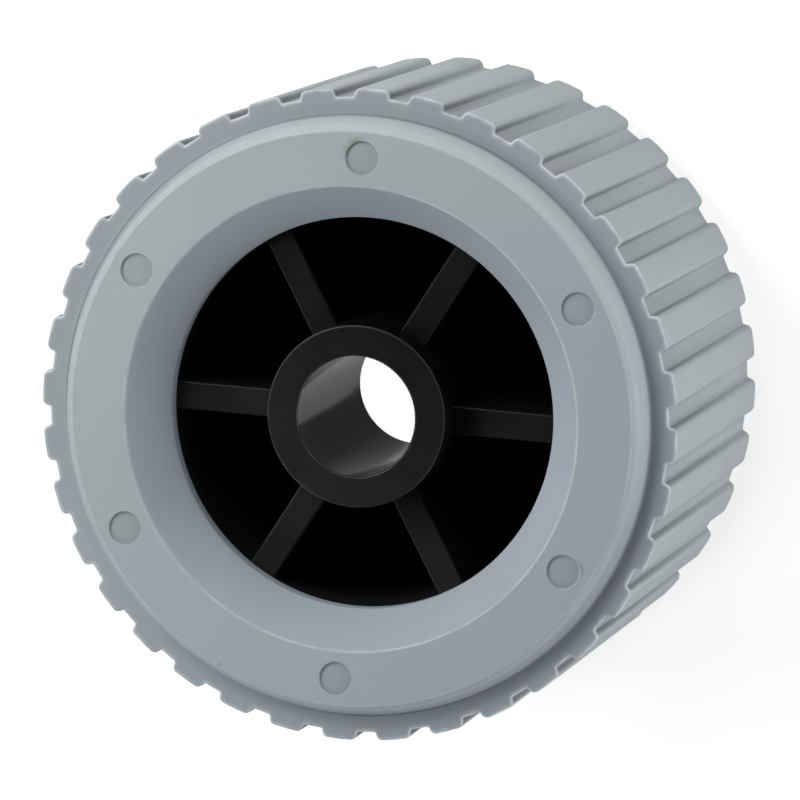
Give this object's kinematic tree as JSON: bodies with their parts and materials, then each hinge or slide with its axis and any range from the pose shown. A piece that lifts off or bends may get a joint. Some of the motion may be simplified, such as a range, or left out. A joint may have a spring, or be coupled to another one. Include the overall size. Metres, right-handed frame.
{
  "type": "keel roller",
  "caption": "Ribbed grey rubber boat trailer roller on a black spoked plastic hub with a plain bore.",
  "frame": {"origin": "middle of the lower end, on the axle's line, level with the end ring that the roller stands on", "axes": "+Z along the axle towards the end with the open spokes; +X along one spoke"},
  "size_m": [0.12, 0.12, 0.078],
  "materials": {
    "hub_plastic": "satin",
    "tyre_rubber": "satin"
  },
  "bodies": {
    "root": {"hub": "hub_plastic", "tyre": "tyre_rubber"}
  },
  "joints": []
}
